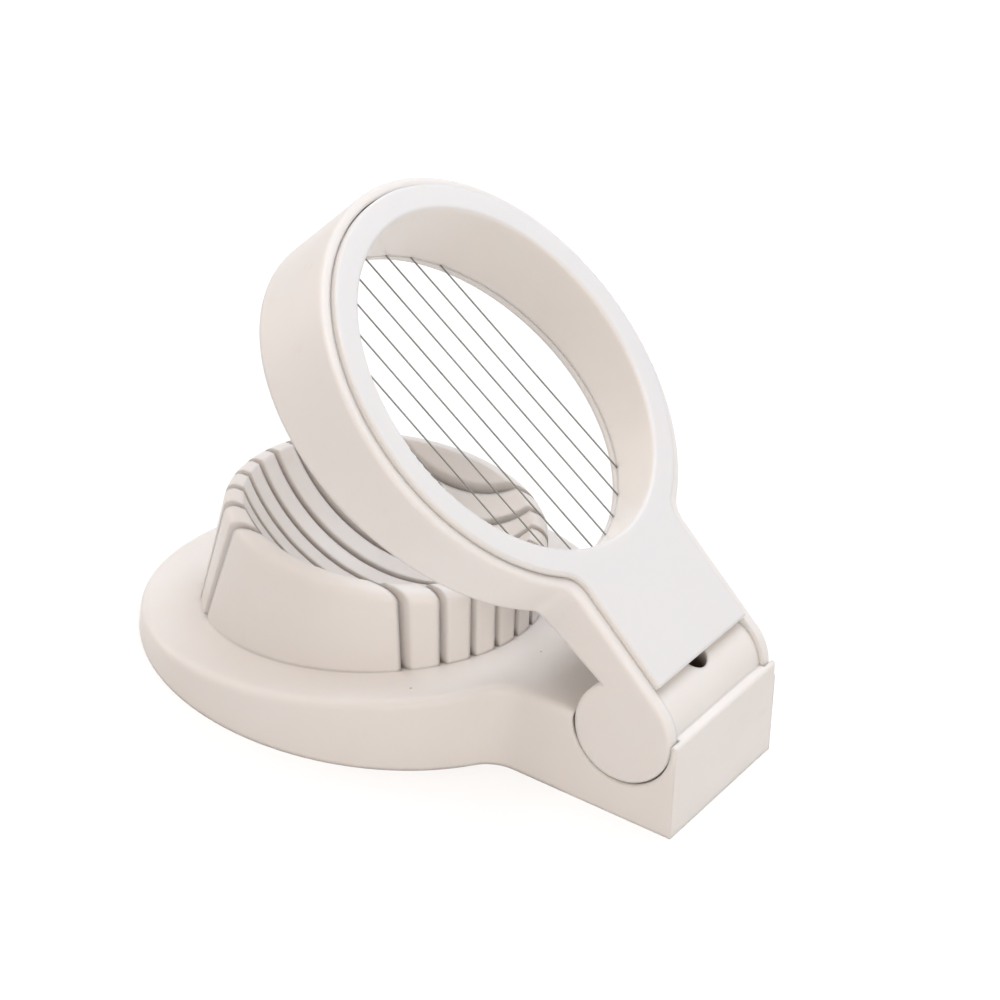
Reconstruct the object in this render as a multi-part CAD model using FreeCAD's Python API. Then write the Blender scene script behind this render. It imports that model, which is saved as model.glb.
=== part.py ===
import FreeCAD, Part
import math
import os

# Hinged wire egg slicer: a round base with a slotted egg cup, and a ring strung with
# cutting wires that swings on a hinge block. Millimetres and degrees, +Z up, +X towards
# the hinge. The origin is on the table under the middle of the base's length.

# Base plate and rim
BASE_RADIUS = 43.0
BASE_WALL = 2.0
PLATE_THICK = 2.2
PLATE_HEIGHT = 10.2
PLATE_SLOPE = 9.1
PLATE_BEND = 20.0
RIM_ROUND = 1.6

# Neck and hinge block of the base
NECK_HALF = 19.0
NECK_DROP = 0.1
NECK_BLEND = 7.0
END_WALL = 1.0
END_RISE = 1.6
END_LEAN = 1.7
END_ROUND = 0.6
BLOCK_ROOF = 5.0

# Hinge
HINGE_REACH = 19.2
HINGE_HEIGHT = 16.5
CHEEK_RADIUS = 9.6
CHEEK_THICK = 2.7
CHEEK_GAP = 0.3
KNUCKLE_STEP = 0.7
KNUCKLE_HOLE = 6.4
KNUCKLE_HOLE_DEPTH = 5.5
KNUCKLE_HOLE_TILT = 14.0
PIN_DIAMETER = 3.0
PIN_PLAY = 0.05
PIN_SOCKET = 1.5

# Egg cup
CUP_CLEARANCE = 2.0
CUP_DRAFT = 6.5
CUP_HEIGHT = 18.4
CUP_ROUND = 2.5
CUP_ROOT = 0.6
CUP_LAND = 3.1
END_SLAT = 6.25
BOWL_FLOOR = 3.4

# Cutting wires
WIRE_COUNT = 10
WIRE_DIAMETER = 0.3
SLOT_WIDTH = 1.3
NOTCH_PLAY = 0.1
CRIMP_DIAMETER = 1.0
CRIMP_LENGTH = 2.0
CRIMP_PLAY = 0.05

# Upper ring frame
RIM_MARGIN = 2.0
RING_WIDTH = 7.25
RING_WALL = 2.0
RING_TAPER = 7.4
RING_BLEND = 5.0
LIP_THICK = 1.2
SHOULDER_ROUND = 0.7
SEAT_GAP = 0.4
SEAM_GROOVE = 0.25

# Cover plate
COVER_PROUD = 1.2
COVER_THICK = 1.8
COVER_GAP = 0.2
COVER_END = 3.0
COVER_ROUND = 0.3
BORE_ROUND = 0.6
LINER_THICK = 1.65

# Pose of the frame, measured as the slope of its cover
REST_OPENING = 39.2

V = FreeCAD.Vector


def slope(angle):
    return math.tan(math.radians(angle))


HINGE_X = BASE_RADIUS + HINGE_REACH
HINGE = V(HINGE_X, 0, HINGE_HEIGHT)
ALONG_HINGE = V(0, 1, 0)
REACH = 4 * HINGE_X

NECK_TOP = HINGE_HEIGHT - NECK_DROP
END_TOP = NECK_TOP + END_RISE
RECESS_RADIUS = CHEEK_RADIUS + CHEEK_GAP
KNUCKLE_RADIUS = CHEEK_RADIUS - KNUCKLE_STEP
KNUCKLE_HALF = NECK_HALF - CHEEK_THICK - CHEEK_GAP
END_FOOT = HINGE_X + RECESS_RADIUS + END_WALL + END_LEAN

RING_RADIUS = BASE_RADIUS - RIM_MARGIN
RING_BORE = RING_RADIUS - RING_WIDTH
CHANNEL_RADIUS = RING_RADIUS - RING_WALL
LINER_RADIUS = RING_BORE + LINER_THICK
NECK_INSIDE = NECK_HALF - CHEEK_THICK
SHOULDER_TOP = HINGE_HEIGHT + CHEEK_RADIUS
COVER_TOP = SHOULDER_TOP + COVER_PROUD
COVER_UNDER = COVER_TOP - COVER_THICK
COVER_RADIUS = CHANNEL_RADIUS - COVER_GAP
COVER_HALF = NECK_INSIDE - COVER_GAP
WIRE_LIFT = LIP_THICK + WIRE_DIAMETER / 2
FLOOR_THICK = WIRE_LIFT - CRIMP_DIAMETER / 2 - CRIMP_PLAY

CUP_FOOT = RING_BORE - CUP_CLEARANCE
CUP_TOP = PLATE_HEIGHT + CUP_HEIGHT
CUP_RIM = CUP_FOOT - CUP_HEIGHT * slope(CUP_DRAFT)
WIRE_PITCH = 2 * (CUP_RIM - END_SLAT) / (WIRE_COUNT - 1)
CLOSED_TILT = PLATE_SLOPE - RING_TAPER
MIDDLE = V((BASE_RADIUS - END_FOOT) / 2, 0, 0)


def half_space(height, angle, above):
    """Large block with a flat face at this height over the disc centre, climbing to the hinge."""
    start = 0 if above else -REACH
    block = Part.makeBox(2 * REACH, 2 * REACH, REACH, V(-REACH, -REACH, start))
    block.rotate(V(0, 0, 0), ALONG_HINGE, -angle)
    block.translate(V(0, 0, height))
    return block


def keyhole(radius, half_width, end, blend, low, high):
    """Upright disc joined to a straight neck, with the two inner corners rounded."""
    disc = Part.makeCylinder(radius, high - low, V(0, 0, low))
    neck = Part.makeBox(end, 2 * half_width, high - low, V(0, -half_width, low))
    body = disc.fuse(neck).removeSplitter()
    corner_x = math.sqrt(radius ** 2 - half_width ** 2)
    corners = []
    for edge in body.Edges:
        upright = edge.BoundBox.ZLength > (high - low) * 0.99
        if upright and abs(edge.BoundBox.Center.x - corner_x) < 0.01:
            corners.append(edge)
    return body.makeFillet(blend, corners)


def cylinder_between(radius, start, end):
    direction = end.sub(start)
    return Part.makeCylinder(radius, direction.Length, start, direction)


def wire_rows():
    middle = (WIRE_COUNT - 1) / 2
    return [(i - middle) * WIRE_PITCH for i in range(WIRE_COUNT)]


def seat_height(lift):
    """Height over the disc centre, cover level, of a plane this far above the ring's lower edge."""
    plate_at_hinge = PLATE_HEIGHT + SEAT_GAP + HINGE_X * slope(PLATE_SLOPE)
    below_plane = (plate_at_hinge - HINGE_HEIGHT) * math.cos(math.radians(PLATE_SLOPE))
    rise = (below_plane + lift) / math.cos(math.radians(RING_TAPER))
    return HINGE_HEIGHT - HINGE_X * slope(RING_TAPER) + rise


def neck_seat():
    """Space under the frame's neck when its cover is level."""
    block = half_space(NECK_TOP + SEAT_GAP, 0, False)
    block.rotate(HINGE, ALONG_HINGE, CLOSED_TILT)
    return block


def rim_edges(shape):
    """Edges where a face that looks up meets an upright wall."""
    found = []
    for edge in shape.Edges:
        faces = shape.ancestorsOfType(edge, Part.Face)
        lifts = sorted(upward(face) for face in faces)
        if abs(lifts[0]) < 0.3 and lifts[-1] > 0.9:
            found.append(edge)
    return found


def upward(face):
    """How far the middle of a face looks up: 1 for a top, 0 for a wall, -1 for an underside."""
    u_low, u_high, v_low, v_high = face.ParameterRange
    return face.normalAt((u_low + u_high) / 2, (v_low + v_high) / 2).z


def side_profile(points):
    """Outline in the X-Z plane carried right across the width."""
    corners = [V(x, -REACH, z) for x, z in points]
    face = Part.Face(Part.makePolygon(corners + corners[:1]))
    return face.extrude(V(0, 2 * REACH, 0))


def base_shell():
    """Round plate and neck with a rounded top edge, and the raised wall at the hinge end."""
    bend_x = (NECK_TOP - PLATE_HEIGHT) / slope(PLATE_SLOPE)
    far_x = -BASE_RADIUS - BASE_WALL
    lean = END_LEAN / HINGE_HEIGHT
    plate_top = side_profile([
        (far_x, 0),
        (far_x, PLATE_HEIGHT + far_x * slope(PLATE_SLOPE)),
        (bend_x, NECK_TOP),
        (END_FOOT - lean * NECK_TOP, NECK_TOP),
        (END_FOOT, 0),
    ])
    bend_middle = V(bend_x, 0, NECK_TOP)
    bend = [edge for edge in plate_top.Edges if edge.BoundBox.Center.isEqual(bend_middle, PIN_PLAY)]
    plate_top = plate_top.makeFillet(PLATE_BEND, bend)
    body = keyhole(BASE_RADIUS, NECK_HALF, END_FOOT, NECK_BLEND, 0, END_TOP + CUP_HEIGHT)
    body = body.common(plate_top)
    rim = [edge for edge in rim_edges(body) if edge.BoundBox.XMin < HINGE_X]
    body = body.makeFillet(RIM_ROUND, rim)
    end_wall = side_profile([
        (HINGE_X, 0),
        (HINGE_X, END_TOP),
        (END_FOOT - lean * END_TOP, END_TOP),
        (END_FOOT, 0),
    ])
    end_wall = end_wall.common(Part.makeBox(REACH, 2 * NECK_HALF, REACH, V(0, -NECK_HALF, 0)))
    corners = []
    for edge in end_wall.Edges:
        if edge.BoundBox.XMin > HINGE_X and edge.BoundBox.ZMax > BASE_WALL:
            corners.append(edge)
    return body.fuse(end_wall.makeFillet(END_ROUND, corners))


def hollow():
    """Space under the plate, the neck and the hinge block, open at the table."""
    disc = Part.makeCylinder(BASE_RADIUS - BASE_WALL, REACH, V(0, 0, -BASE_WALL))
    disc = disc.common(half_space(PLATE_HEIGHT - PLATE_THICK, PLATE_SLOPE, False))
    inside = NECK_HALF - BASE_WALL
    neck_end = HINGE_X - RECESS_RADIUS - BASE_WALL
    neck_roof = NECK_TOP - PLATE_THICK
    neck = Part.makeBox(neck_end, 2 * inside, neck_roof, V(0, -inside, 0))
    neck = neck.common(half_space(PLATE_HEIGHT - PLATE_THICK, PLATE_SLOPE, False))
    block_half = KNUCKLE_HALF - BASE_WALL
    block_end = END_FOOT - END_LEAN - BASE_WALL
    block_roof = HINGE_HEIGHT - PIN_DIAMETER / 2 - BLOCK_ROOF
    block = Part.makeBox(block_end, 2 * block_half, block_roof, V(0, -block_half, 0))
    block = block.common(half_space(PLATE_HEIGHT - PLATE_THICK, PLATE_SLOPE, False))
    return disc.fuse([neck, block])


def egg_cup():
    """Slats of a tapered cup with a round bowl, sawn by one slot for each wire."""
    low = PLATE_HEIGHT - CUP_FOOT * slope(PLATE_SLOPE) - CUP_ROOT
    foot = CUP_FOOT + (PLATE_HEIGHT - low) * slope(CUP_DRAFT)
    cup = Part.makeCone(foot, CUP_RIM, CUP_TOP - low, V(0, 0, low))
    cup.rotate(V(0, 0, 0), V(0, 0, 1), 90)
    rim = [edge for edge in cup.Edges if edge.BoundBox.ZMin > CUP_TOP - CUP_ROOT]
    cup = cup.makeFillet(CUP_ROUND, rim)
    bowl_depth = CUP_HEIGHT - BOWL_FLOOR
    bowl_radius = ((CUP_RIM - CUP_LAND) ** 2 + bowl_depth ** 2) / (2 * bowl_depth)
    bowl_centre = V(0, 0, PLATE_HEIGHT + BOWL_FLOOR + bowl_radius)
    cup = cup.cut(Part.makeSphere(bowl_radius, bowl_centre, ALONG_HINGE))
    cup = cup.common(half_space(PLATE_HEIGHT - CUP_ROOT, PLATE_SLOPE, True))
    slots = []
    for y in wire_rows():
        corner = V(-foot - CUP_ROOT, y - SLOT_WIDTH / 2, low - CUP_ROOT)
        slots.append(Part.makeBox(2 * (foot + CUP_ROOT), SLOT_WIDTH, REACH, corner))
    return cup.cut(slots).Solids


def base():
    body = base_shell().cut(hollow())
    recesses = []
    for side in (-1, 1):
        start = V(HINGE_X, side * KNUCKLE_HALF, HINGE_HEIGHT)
        end = V(HINGE_X, side * (NECK_HALF + CHEEK_THICK), HINGE_HEIGHT)
        recesses.append(cylinder_between(RECESS_RADIUS, start, end))
    body = body.cut(recesses)
    knuckle_start = V(HINGE_X, -KNUCKLE_HALF, HINGE_HEIGHT)
    knuckle = Part.makeCylinder(KNUCKLE_RADIUS, 2 * KNUCKLE_HALF, knuckle_start, ALONG_HINGE)
    knuckle = knuckle.common(half_space(HINGE_HEIGHT - PIN_DIAMETER, 0, True))
    body = body.fuse([knuckle] + egg_cup())
    pin_start = HINGE - V(0, NECK_HALF, 0)
    bore = Part.makeCylinder(PIN_DIAMETER / 2 + PIN_PLAY, 2 * NECK_HALF, pin_start, ALONG_HINGE)
    hole_low = HINGE_HEIGHT + KNUCKLE_RADIUS - KNUCKLE_HOLE_DEPTH
    hole = Part.makeCylinder(KNUCKLE_HOLE / 2, REACH, V(HINGE_X, 0, hole_low))
    hole.rotate(HINGE, ALONG_HINGE, KNUCKLE_HOLE_TILT)
    return body.cut([bore, hole]).removeSplitter()


def frame_outside():
    """Ring, neck and hinge cheeks as one block, with the upper outline rounded."""
    body = keyhole(RING_RADIUS, NECK_HALF, HINGE_X, RING_BLEND, -SHOULDER_TOP, SHOULDER_TOP)
    shoulder = []
    for edge in body.Edges:
        if edge.BoundBox.ZMin > HINGE_HEIGHT and edge.BoundBox.XMin < HINGE_X - PIN_DIAMETER:
            shoulder.append(edge)
    body = body.makeFillet(SHOULDER_ROUND, shoulder)
    body = body.cut(half_space(seat_height(0), RING_TAPER, False))
    ring = Part.makeCylinder(RING_RADIUS, 2 * SHOULDER_TOP, V(0, 0, -SHOULDER_TOP))
    body = body.cut(neck_seat().cut(ring))
    cheeks = cylinder_between(CHEEK_RADIUS, HINGE - V(0, NECK_HALF, 0), HINGE + V(0, NECK_HALF, 0))
    rims = [edge for edge in cheeks.Edges if edge.BoundBox.YLength < PIN_PLAY]
    return body.fuse(cheeks.makeFillet(SHOULDER_ROUND, rims)).removeSplitter()


def upper_frame():
    """Channel-shaped ring with a flat lower lip, two neck sides and their round hinge cheeks."""
    body = frame_outside()
    ring = Part.makeCylinder(RING_RADIUS, 2 * SHOULDER_TOP, V(0, 0, -SHOULDER_TOP))
    neck_room = Part.makeBox(2 * HINGE_X, 2 * NECK_INSIDE, REACH, V(0, -NECK_INSIDE, -SHOULDER_TOP))
    bore = Part.makeCylinder(RING_BORE, REACH, V(0, 0, -SHOULDER_TOP))
    lip_room = Part.makeCylinder(LINER_RADIUS, REACH, V(0, 0, -SHOULDER_TOP))
    lip_room = lip_room.common(half_space(seat_height(LIP_THICK), RING_TAPER, True))
    channel = Part.makeCylinder(CHANNEL_RADIUS, REACH, V(0, 0, -SHOULDER_TOP))
    channel = channel.cut(Part.makeCylinder(LINER_RADIUS, REACH, V(0, 0, -SHOULDER_TOP)))
    channel = channel.common(half_space(seat_height(FLOOR_THICK), RING_TAPER, True))
    pocket = keyhole(CHANNEL_RADIUS, NECK_INSIDE, 2 * HINGE_X, RING_BLEND, COVER_UNDER, COVER_TOP)
    body = body.cut([neck_room.cut(ring), bore, lip_room, channel, pocket])
    return body.removeSplitter()


def cover():
    """Flat ring-and-tab plate with a round liner that reaches down to the lip."""
    end = HINGE_X - COVER_END
    plate = keyhole(COVER_RADIUS, COVER_HALF, end, RING_BLEND + COVER_GAP, COVER_UNDER, COVER_TOP)
    outline = [edge for edge in plate.Edges if edge.BoundBox.ZMin > COVER_TOP - COVER_GAP]
    plate = plate.makeFillet(COVER_ROUND, outline)
    liner = Part.makeCylinder(LINER_RADIUS, REACH, V(0, 0, COVER_UNDER - REACH))
    liner = liner.common(half_space(seat_height(LIP_THICK), RING_TAPER, True))
    body = plate.fuse(liner)
    body = body.cut(Part.makeCylinder(RING_BORE, 2 * REACH, V(0, 0, -REACH)))
    mouth = [edge for edge in body.Edges if on_mouth(edge)]
    body = body.makeFillet(BORE_ROUND, mouth)
    seam = Part.makeCylinder(RING_BORE + SEAM_GROOVE, 2 * REACH, V(0, 0, -REACH))
    seam = seam.common(half_space(seat_height(LIP_THICK + SEAM_GROOVE), RING_TAPER, False))
    notches = []
    for y in wire_rows():
        half = WIRE_DIAMETER / 2 + NOTCH_PLAY
        notch = Part.makeBox(2 * REACH, 2 * half, half + WIRE_DIAMETER, V(-REACH, y - half, -WIRE_DIAMETER))
        notch.rotate(V(0, 0, 0), ALONG_HINGE, -RING_TAPER)
        notch.translate(V(0, 0, seat_height(WIRE_LIFT)))
        notches.append(notch)
    return body.cut([seam] + notches).removeSplitter()


def on_mouth(edge):
    """True for the top edge of the round opening."""
    round_top = edge.BoundBox.YLength < 2 * RING_BORE + COVER_GAP and edge.BoundBox.XMax < RING_RADIUS
    return round_top and edge.BoundBox.ZMin > COVER_TOP - COVER_GAP


def on_wire(x, y):
    return V(x, y, seat_height(WIRE_LIFT) + x * slope(RING_TAPER))


def crimp_start(y):
    """Distance from the middle at which a crimp clears the outside of the liner."""
    return math.sqrt(LINER_RADIUS ** 2 - max(0, abs(y) - CRIMP_DIAMETER / 2) ** 2) + CRIMP_PLAY


def wire(y):
    end = crimp_start(y) + CRIMP_LENGTH
    return cylinder_between(WIRE_DIAMETER / 2, on_wire(-end, y), on_wire(end, y))


def crimps(side):
    sleeves = []
    for y in wire_rows():
        start = on_wire(side * crimp_start(y), y)
        end = on_wire(side * (crimp_start(y) + CRIMP_LENGTH), y)
        sleeve = cylinder_between(CRIMP_DIAMETER / 2, start, end)
        sleeves.append(sleeve.cut(cylinder_between(WIRE_DIAMETER / 2, start, end)))
    return Part.makeCompound(sleeves)


def hinge_pin():
    half = NECK_INSIDE + PIN_SOCKET
    return Part.makeCylinder(PIN_DIAMETER / 2, 2 * half, HINGE - V(0, half, 0), ALONG_HINGE)


def swing(shape):
    """Turn a piece of the frame from cover level to the resting opening."""
    turned = shape.copy()
    turned.rotate(HINGE, ALONG_HINGE, REST_OPENING)
    return turned


def build():
    nodes = {"base": base()}
    nodes["upper_frame"] = swing(upper_frame().cut(hinge_pin()))
    nodes["cover_plate"] = swing(cover())
    nodes["hinge_pin"] = swing(hinge_pin())
    for number, y in enumerate(wire_rows(), 1):
        nodes[f"cutting_wire_{number:02d}"] = swing(wire(y))
    nodes["wire_crimps_far"] = swing(crimps(-1))
    nodes["wire_crimps_near"] = swing(crimps(1))
    return nodes


os.makedirs("parts", exist_ok=True)
for name, shape in build().items():
    shape.translate(MIDDLE)
    shape.exportStep(f"parts/{name}.step")
    print(name, len(shape.Solids), "solids", round(shape.Volume, 1), "mm3", shape.isValid())
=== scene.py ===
import math

import bpy
from mathutils import Matrix, Vector


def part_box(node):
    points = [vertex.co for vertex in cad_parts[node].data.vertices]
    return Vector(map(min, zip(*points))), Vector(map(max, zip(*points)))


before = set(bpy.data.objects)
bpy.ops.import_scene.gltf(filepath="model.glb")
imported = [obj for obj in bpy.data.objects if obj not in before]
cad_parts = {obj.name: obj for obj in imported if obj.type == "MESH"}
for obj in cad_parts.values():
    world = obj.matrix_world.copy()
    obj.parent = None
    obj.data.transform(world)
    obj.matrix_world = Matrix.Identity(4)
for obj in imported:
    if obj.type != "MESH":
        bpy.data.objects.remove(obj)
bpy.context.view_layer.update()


# Base with its cup: a round plate on a hollow rim, with a neck and a hinge block, and the
# slatted cup standing on it. One injection moulding in warm white ABS, with a fine satin
# face from the mould, painted brown shade in the narrow slots and the scuffs of a kitchen
# drawer.
MM = 0.001
BASE_WHITE = (0.800, 0.766, 0.738)
BASE_CLOUD = (0.745, 0.690, 0.640)
# Edge colour is partly rubbed wear, partly painted highlight; gap colour is painted light.
BASE_EDGE_WEAR_AND_HIGHLIGHT = (0.840, 0.820, 0.800)
BASE_GAP_LIGHT = (0.900, 0.870, 0.840)
BASE_ROUGHNESS = 0.36
BASE_GLOW_DEPTH = 1.2 * MM
# Painted brown shade for the depths of the slots; the stray specks use the same brown.
SLOT_SHADE_AND_SPECK_BROWN = (0.160, 0.088, 0.048)
# Painted dark shade for the bottom of the knuckle hole.
HOLE_SHADE_BROWN = (0.150, 0.105, 0.078)


class Field:
    """A value that varies over a surface: one socket of a material, with plain arithmetic."""

    def __init__(self, tree, socket=None):
        self.tree = tree
        self.socket = socket

    def make(self, kind, settings, inputs, output=0):
        """Adds a node, sets it up, fills or links its sockets and gives back one output."""
        node = self.tree.nodes.new(kind)
        for name, value in settings.items():
            setattr(node, name, value)
        for name, value in inputs.items():
            if isinstance(value, Field):
                self.tree.links.new(value.socket, node.inputs[name])
            else:
                node.inputs[name].default_value = value
        return Field(self.tree, node.outputs[output]) if node.outputs else None

    def math(self, operation, first, second):
        return self.make("ShaderNodeMath", {"operation": operation}, {0: first, 1: second})

    def __add__(self, other):
        return self.math("ADD", self, other)

    __radd__ = __add__

    def __sub__(self, other):
        return self.math("SUBTRACT", self, other)

    def __rsub__(self, other):
        return self.math("SUBTRACT", other, self)

    def __mul__(self, other):
        return self.math("MULTIPLY", self, other)

    __rmul__ = __mul__

    def ramp(self, low, high):
        """0 below low, 1 above high and straight between them."""
        inputs = {"Value": self, "From Min": low, "From Max": high}
        return self.make("ShaderNodeMapRange", {}, inputs)

    def blend(self, first, second):
        """First colour where this is 0, second where it is 1."""
        inputs = {0: self, 6: first, 7: second}
        return self.make("ShaderNodeMix", {"data_type": "RGBA"}, inputs, 2)

    def vector_math(self, operation, first, second):
        """A number from two vectors, such as their distance or how far they point one way."""
        inputs = {0: first, 1: second}
        return self.make("ShaderNodeVectorMath", {"operation": operation}, inputs, "Value")


def opaque(colour):
    return (*colour, 1)


def new_finish(name):
    """An empty material, and the field that adds nodes to it."""
    material = bpy.data.materials.new(name)
    material.use_nodes = True
    material.node_tree.nodes.clear()
    return material, Field(material.node_tree)


PATTERN_ROUGHNESS = 0.55


def noise(field, place, size, detail, stretch=(1, 1, 1)):
    """Cloudy pattern whose patches are about this size."""
    scaled = field.make("ShaderNodeMapping", {}, {"Vector": place, "Scale": stretch})
    return field.make("ShaderNodeTexNoise", {}, {
        "Vector": scaled,
        "Scale": 1 / size,
        "Detail": detail,
        "Roughness": PATTERN_ROUGHNESS,
    })


SPECK_SPACING = 11 * MM
SPECK_RADIUS = 0.24 * MM
SPECK_BLUR = (0.7, 1.3)
SPECK_CHANCE = (0.66, 0.70)
SPECK_STRENGTH = 0.6


def stray_specks(field, place):
    """Tiny dark dots, one here and there: most cells of the pattern stay empty."""
    cells = {"Vector": place, "Scale": 1 / SPECK_SPACING}
    reach = field.make("ShaderNodeTexVoronoi", {}, cells, "Distance")
    lot = field.make("ShaderNodeTexVoronoi", {}, cells, "Color")
    lot = field.make("ShaderNodeSeparateColor", {}, {"Color": lot})
    share = SPECK_RADIUS / SPECK_SPACING
    near, far = SPECK_BLUR
    return (1 - reach.ramp(share * near, share * far)) * lot.ramp(*SPECK_CHANCE)


# Softened edges, painted pale partly as rubbed wear and partly as painted highlight, and narrow
# gaps, painted lighter as painted light where the pale walls light each other.
EDGE_RADIUS = 1.0 * MM
EDGE_RAYS = 4
EDGE_TURN = (0.02, 0.25)
EDGE_PALENESS = 0.45
GAP_REACH = 2 * MM
GAP_RAYS = 6
GAP_SHADE = (0.40, 0.80)

# Uneven colour, drawer scuffs in patches and mould grain.
CLOUD_SIZE = 22 * MM
CLOUD_SPREAD = (0.35, 0.75)
CLOUD_STRENGTH = 0.35
PATCH_SIZE = 9 * MM
PATCH_SPREAD = (0.45, 0.65)
SCUFF_SIZE = 1.6 * MM
SCUFF_STRETCH = (1, 0.12, 0.6)
SCUFF_SPREAD = (0.60, 0.72)
SCUFF_STRENGTH = 0.30
GRAIN_SIZE = 0.35 * MM

# Gloss and relief of the moulded face, and how far light wanders in the plastic.
CLOUD_DULLS = 0.10
SCUFF_DULLS = 0.16
EDGE_DULLS = 0.08
RELIEF_STRENGTH = 0.35
RELIEF_HEIGHT = 0.025 * MM
GRAIN_RELIEF = 0.6
SCUFF_RELIEF = 0.5
PLASTIC_IOR = 1.5
GLOW_WEIGHT = 0.30
GLOW_TINT = (1, 0.8, 0.63)


def moulded_plastic(name, clean, cloudy, worn_and_lit, gap_light, roughness, glow_depth, painted_light_and_shade=()):
    """Moulded ABS: satin grain, uneven gloss, dull scuffs, edges painted pale as wear and
    highlight, narrow gaps painted lighter as painted light, and the painted light and shade
    passed in.
    """
    material, field = new_finish(name)
    place = field.make("ShaderNodeTexCoord", {}, {}, "Object")
    facing = field.make("ShaderNodeNewGeometry", {}, {}, "Normal")
    soft = field.make("ShaderNodeBevel", {"samples": EDGE_RAYS}, {"Radius": EDGE_RADIUS})
    edge = (1 - field.vector_math("DOT_PRODUCT", facing, soft)).ramp(*EDGE_TURN)
    open_air = field.make(
        "ShaderNodeAmbientOcclusion", {"samples": GAP_RAYS}, {"Distance": GAP_REACH}, "AO"
    )
    narrow = (1 - open_air).ramp(*GAP_SHADE)
    cloud = noise(field, place, CLOUD_SIZE, 3)
    patch = noise(field, place, PATCH_SIZE, 2).ramp(*PATCH_SPREAD)
    scuff = noise(field, place, SCUFF_SIZE, 4, SCUFF_STRETCH).ramp(*SCUFF_SPREAD) * patch
    grain = noise(field, place, GRAIN_SIZE, 2)

    uneven = cloud.ramp(*CLOUD_SPREAD) * CLOUD_STRENGTH
    colour = uneven.blend(opaque(clean), opaque(cloudy))
    colour = (scuff * SCUFF_STRENGTH).blend(colour, opaque(cloudy))
    # Edges painted paler: partly rubbed wear, partly painted highlight on the rounding.
    colour = (edge * EDGE_PALENESS).blend(colour, opaque(worn_and_lit))
    # Narrow gaps painted lighter: painted light where the walls light each other.
    colour = narrow.blend(colour, opaque(gap_light))
    # Painted shade and painted light passed in by the caller: slots, knuckle hole, liner wall.
    for painted_mark in painted_light_and_shade:
        share, shade = painted_mark(field, place, open_air)
        colour = share.blend(colour, opaque(shade))
    specks = stray_specks(field, place) * SPECK_STRENGTH
    colour = specks.blend(colour, opaque(SLOT_SHADE_AND_SPECK_BROWN))

    dullness = roughness + CLOUD_DULLS * cloud + SCUFF_DULLS * scuff + EDGE_DULLS * edge
    bump = field.make("ShaderNodeBump", {}, {
        "Strength": RELIEF_STRENGTH,
        "Distance": RELIEF_HEIGHT,
        "Height": GRAIN_RELIEF * grain + SCUFF_RELIEF * scuff,
        "Normal": soft,
    })
    surface = field.make("ShaderNodeBsdfPrincipled", {}, {
        "Base Color": colour,
        "Roughness": dullness,
        "Normal": bump,
        "IOR": PLASTIC_IOR,
        "Subsurface Weight": GLOW_WEIGHT,
        "Subsurface Radius": [tint * glow_depth for tint in GLOW_TINT],
        "Subsurface Scale": 1.0,
    })
    field.make("ShaderNodeOutputMaterial", {}, {"Surface": surface})
    return material


SLOT_SHADE = (0.50, 0.68)
SLOTS_END = 36 * MM
SLOTS_FADE = 2 * MM


def slot_painted_shade(field, place, open_air):
    """Painted brown shade deep in the slots of the cup, fading out beside the neck."""
    along = field.make("ShaderNodeSeparateXYZ", {}, {"Vector": place}, "X")
    beside_neck = along.ramp(SLOTS_END, SLOTS_END + SLOTS_FADE)
    return (1 - open_air).ramp(*SLOT_SHADE) * (1 - beside_neck), SLOT_SHADE_AND_SPECK_BROWN


HOLE_TILT = math.radians(14)
HOLE_FLOOR = 3.4 * MM
HOLE_SHADE_EDGE = (4.2 * MM, 5.8 * MM)


def hole_painted_shade(field, place, open_air):
    """Painted dark shade at the bottom of the round hole in the knuckle."""
    low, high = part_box("hinge_pin")
    up_the_hole = Vector((math.sin(HOLE_TILT), 0, math.cos(HOLE_TILT)))
    floor_middle = (low + high) / 2 + HOLE_FLOOR * up_the_hole
    distance = field.vector_math("DISTANCE", place, floor_middle)
    return 1 - distance.ramp(*HOLE_SHADE_EDGE), HOLE_SHADE_BROWN


def dress(node, material):
    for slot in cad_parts[node].material_slots:
        slot.material = material


base_finish = moulded_plastic(
    "warm_white_base", BASE_WHITE, BASE_CLOUD, BASE_EDGE_WEAR_AND_HIGHLIGHT, BASE_GAP_LIGHT,
    BASE_ROUGHNESS, BASE_GLOW_DEPTH, (slot_painted_shade, hole_painted_shade),
)
dress("base", base_finish)


# Ring frame: the deep ring with its two neck sides and hinge cheeks, a thin-walled channel
# in the same warm white ABS as the base. It swings on the hinge pin and carries the wires.
FRAME_WHITE = (0.805, 0.774, 0.750)
FRAME_CLOUD = (0.755, 0.705, 0.665)
# Edge colour is partly rubbed wear, partly painted highlight; gap colour is painted light.
FRAME_EDGE_WEAR_AND_HIGHLIGHT = (0.845, 0.825, 0.805)
FRAME_GAP_LIGHT = (0.930, 0.910, 0.890)
FRAME_ROUGHNESS = 0.34
THIN_GLOW_DEPTH = 2.4 * MM
frame_finish = moulded_plastic(
    "warm_white_frame", FRAME_WHITE, FRAME_CLOUD, FRAME_EDGE_WEAR_AND_HIGHLIGHT, FRAME_GAP_LIGHT,
    FRAME_ROUGHNESS, THIN_GLOW_DEPTH,
)
dress("upper_frame", frame_finish)


# Cover plate: the flat ring-and-tab lid pressed into the frame, whose round liner holds the
# wires down. The same plastic, polished cool white, with painted warm light on the upright wall
# round the opening.
COVER_WHITE = (0.750, 0.742, 0.743)
COVER_CLOUD = (0.740, 0.728, 0.722)
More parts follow.
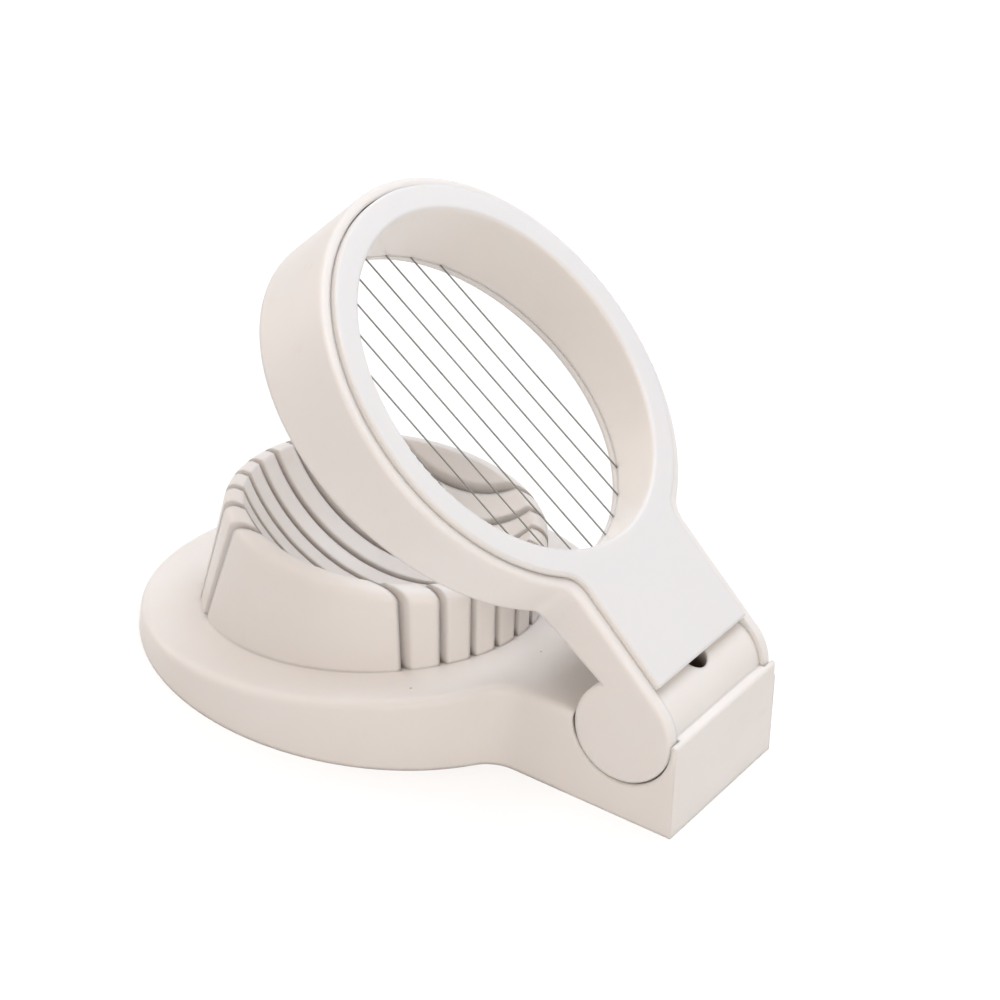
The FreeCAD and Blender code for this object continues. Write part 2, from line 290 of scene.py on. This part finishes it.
# Edge colour is partly rubbed wear, partly painted highlight; gap colour is painted light.
COVER_EDGE_WEAR_AND_HIGHLIGHT = (0.845, 0.830, 0.815)
COVER_GAP_LIGHT = (0.930, 0.910, 0.890)
COVER_ROUGHNESS = 0.30
COVER_SLOPE = math.radians(39.2)
# Painted warm light for the upright wall round the opening.
LINER_WARM_LIGHT = (0.830, 0.790, 0.752)
LINER_TURN = (0.35, 0.80)


def liner_painted_warm_light(field, place, open_air):
    """Painted warm light on the upright wall of the opening, told from the flat top by the way
    it faces.
    """
    upright = Vector((math.sin(COVER_SLOPE), 0, math.cos(COVER_SLOPE)))
    facing = field.make("ShaderNodeTexCoord", {}, {}, "Normal")
    lift = field.vector_math("DOT_PRODUCT", facing, upright)
    return (1 - lift.ramp(*LINER_TURN)) * open_air, LINER_WARM_LIGHT


cover_finish = moulded_plastic(
    "cool_white_cover", COVER_WHITE, COVER_CLOUD, COVER_EDGE_WEAR_AND_HIGHLIGHT, COVER_GAP_LIGHT,
    COVER_ROUGHNESS, THIN_GLOW_DEPTH, (liner_painted_warm_light,),
)
dress("cover_plate", cover_finish)


# Hinge pin: a plain steel pin through the block, pressed into the cheek at each end. Drawn
# rod, cut to length, so its fine lines run along it.
PIN_STEEL = (0.560, 0.560, 0.565)
PIN_DULL = (0.400, 0.395, 0.390)
PIN_ROUGHNESS = 0.22
PIN_LINE_SIZE = 0.15 * MM
PIN_LINE_STRETCH = (1, 0.05, 1)
DULL_PATCH_SIZE = 6 * MM
DULL_PATCH_SPREAD = (0.40, 0.70)
DULL_PATCH_STRENGTH = 0.6
DRAW_LINE_STRENGTH = 0.25
DRAW_LINE_HEIGHT = 0.005 * MM
LINES_DULL = 0.18
PATCH_DULLS = 0.10


def drawn_steel(name, bright, dull, roughness, line_size, stretch):
    """Bright steel with fine draw lines along its length and duller patches."""
    material, field = new_finish(name)
    place = field.make("ShaderNodeTexCoord", {}, {}, "Object")
    lines = noise(field, place, line_size, 3, stretch)
    patch = noise(field, place, DULL_PATCH_SIZE, 2).ramp(*DULL_PATCH_SPREAD)
    bump = field.make("ShaderNodeBump", {}, {
        "Strength": DRAW_LINE_STRENGTH,
        "Distance": DRAW_LINE_HEIGHT,
        "Height": lines,
    })
    surface = field.make("ShaderNodeBsdfPrincipled", {}, {
        "Base Color": (patch * DULL_PATCH_STRENGTH).blend(opaque(bright), opaque(dull)),
        "Roughness": roughness + LINES_DULL * lines + PATCH_DULLS * patch,
        "Normal": bump,
        "Metallic": 1.0,
    })
    field.make("ShaderNodeOutputMaterial", {}, {"Surface": surface})
    return material


pin_finish = drawn_steel(
    "pin_steel", PIN_STEEL, PIN_DULL, PIN_ROUGHNESS, PIN_LINE_SIZE, PIN_LINE_STRETCH
)
dress("hinge_pin", pin_finish)


# Cutting wires: ten stainless spring wires strung tight across the ring, one over each slot
# of the cup. Hard-drawn, and dulled to a brownish grey by washing.
WIRE_STEEL = (0.250, 0.240, 0.220)
WIRE_DULL = (0.170, 0.155, 0.135)
WIRE_ROUGHNESS = 0.30
WIRE_LINE_SIZE = 0.10 * MM
WIRE_LINE_STRETCH = (0.05, 1, 0.05)
wire_finish = drawn_steel(
    "wire_steel", WIRE_STEEL, WIRE_DULL, WIRE_ROUGHNESS, WIRE_LINE_SIZE, WIRE_LINE_STRETCH
)
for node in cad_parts:
    if node.startswith("cutting_wire"):
        dress(node, wire_finish)


# Wire crimps: short steel sleeves squeezed on both ends of each wire, which pull against
# the outside of the cover's liner, hidden in the channel of the ring.
CRIMP_STEEL = (0.540, 0.535, 0.530)
CRIMP_DULL = (0.380, 0.370, 0.360)
CRIMP_ROUGHNESS = 0.34
CRIMP_LINE_SIZE = 0.20 * MM
CRIMP_LINE_STRETCH = (0.3, 1, 0.3)
crimp_finish = drawn_steel(
    "crimp_steel", CRIMP_STEEL, CRIMP_DULL, CRIMP_ROUGHNESS, CRIMP_LINE_SIZE, CRIMP_LINE_STRETCH
)
for node in ("wire_crimps_far", "wire_crimps_near"):
    dress(node, crimp_finish)


# Floor: a wide sheet of white paper. The camera sees it as white with a soft shadow, and
# to all other light it is an ordinary pale matt sheet.
FLOOR_SIDE = 8.0
FLOOR_PALE = (0.80, 0.79, 0.78)
FLOOR_SHADOW_SHARE = 0.42
FLOOR_LIGHT = 0.9


def seen_by_camera(field):
    """1 for what the camera sees itself, in a reflection or through glass."""
    rays = [field.make("ShaderNodeLightPath", {}, {}, name)
            for name in ("Is Camera Ray", "Is Glossy Ray", "Is Transmission Ray")]
    return field.math("MAXIMUM", field.math("MAXIMUM", rays[0], rays[1]), rays[2])


half = FLOOR_SIDE / 2
corners = [(-half, -half, 0), (half, -half, 0), (half, half, 0), (-half, half, 0)]
floor_mesh = bpy.data.meshes.new("paper_floor")
floor_mesh.from_pydata(corners, [], [(0, 1, 2, 3)])
floor = bpy.data.objects.new("paper_floor", floor_mesh)
bpy.context.scene.collection.objects.link(floor)
paper, field = new_finish("white_paper")
matt = field.make("ShaderNodeBsdfDiffuse", {}, {"Color": opaque(FLOOR_PALE)})
shade = field.make("ShaderNodeBsdfDiffuse", {}, {"Color": opaque([FLOOR_SHADOW_SHARE] * 3)})
glow = field.make("ShaderNodeEmission", {}, {"Strength": 1 - FLOOR_SHADOW_SHARE * FLOOR_LIGHT})
shown = field.make("ShaderNodeAddShader", {}, {0: shade, 1: glow})
both = field.make("ShaderNodeMixShader", {}, {0: seen_by_camera(field), 1: matt, 2: shown})
field.make("ShaderNodeOutputMaterial", {}, {"Surface": both})
floor_mesh.materials.append(paper)


# Studio light: a dim white surround and five large soft boxes around the object, cool from
# above and behind, warm from the sides and the front, so no side falls into shade.
SURROUND_COLOUR = (1.0, 0.97, 0.95)
SURROUND_LEVEL = 0.45
BACKDROP_COLOUR = (1, 1, 1)
BACKDROP_LEVEL = 1.0
BOX_SIDE = 0.6
LIGHT_AIM = Vector((0, 0, 0.04))
world = bpy.data.worlds.new("studio")
bpy.context.scene.world = world
world.use_nodes = True
world.node_tree.nodes.clear()
field = Field(world.node_tree)
surround = field.make(
    "ShaderNodeBackground", {}, {"Color": opaque(SURROUND_COLOUR), "Strength": SURROUND_LEVEL}
)
backdrop = field.make(
    "ShaderNodeBackground", {}, {"Color": opaque(BACKDROP_COLOUR), "Strength": BACKDROP_LEVEL}
)
sky = field.make("ShaderNodeMixShader", {}, {0: seen_by_camera(field), 1: surround, 2: backdrop})
field.make("ShaderNodeOutputWorld", {}, {"Surface": sky})


def soft_box(name, place, watts, colour):
    """A square lamp at this place, in metres, turned to the object."""
    lamp = bpy.data.lights.new(name, "AREA")
    lamp.size = BOX_SIDE
    lamp.energy = watts
    lamp.color = colour
    holder = bpy.data.objects.new(name, lamp)
    holder.location = place
    holder.rotation_euler = (Vector(place) - LIGHT_AIM).to_track_quat("Z", "Y").to_euler()
    bpy.context.scene.collection.objects.link(holder)


soft_box("top_box", place=(0, 0, 1.20), watts=4.4, colour=(0.96, 0.965, 1.0))
soft_box("back_box", place=(0, 0.75, 0.90), watts=4.3, colour=(0.77, 0.87, 1.0))
soft_box("left_box", place=(-1.10, 0, 0.35), watts=2.2, colour=(1.0, 0.90, 0.82))
soft_box("front_box", place=(0.91, -0.67, 0.40), watts=4.1, colour=(1.0, 0.92, 0.85))
soft_box("high_box", place=(-0.35, -0.55, 1.00), watts=1.8, colour=(1.0, 0.80, 0.66))


# Camera: the photograph's viewpoint, found from the circles of the base and the ring. The
# picture is square, and it is turned a little, so upright edges lean to the right.
AZIMUTH = math.radians(26.74)
ELEVATION = math.radians(29.55)
ROLL = math.radians(8.57)
DISTANCE = 0.680
NEAREST_SEEN = 0.01
AIM = Vector((0.00654, 0, 0.03943))
PICTURE_SIDE = 1000
FOCAL_PIXELS = 3798.3
SENSOR = 36.0
back = Vector((
    math.sin(AZIMUTH) * math.cos(ELEVATION),
    -math.cos(AZIMUTH) * math.cos(ELEVATION),
    math.sin(ELEVATION),
))
level_right = Vector((math.cos(AZIMUTH), math.sin(AZIMUTH), 0))
level_up = back.cross(level_right)
right = level_right * math.cos(ROLL) + level_up * math.sin(ROLL)
up = level_up * math.cos(ROLL) - level_right * math.sin(ROLL)
lens = bpy.data.cameras.new("camera")
lens.sensor_fit = "HORIZONTAL"
lens.sensor_width = SENSOR
lens.lens = FOCAL_PIXELS / PICTURE_SIDE * SENSOR
lens.clip_start = NEAREST_SEEN
camera = bpy.data.objects.new("camera", lens)
turned = Matrix((right, up, back)).transposed().to_4x4()
camera.matrix_world = Matrix.Translation(AIM + back * DISTANCE) @ turned
bpy.context.scene.collection.objects.link(camera)
bpy.context.scene.camera = camera

bpy.context.scene.view_settings.view_transform = "Standard"
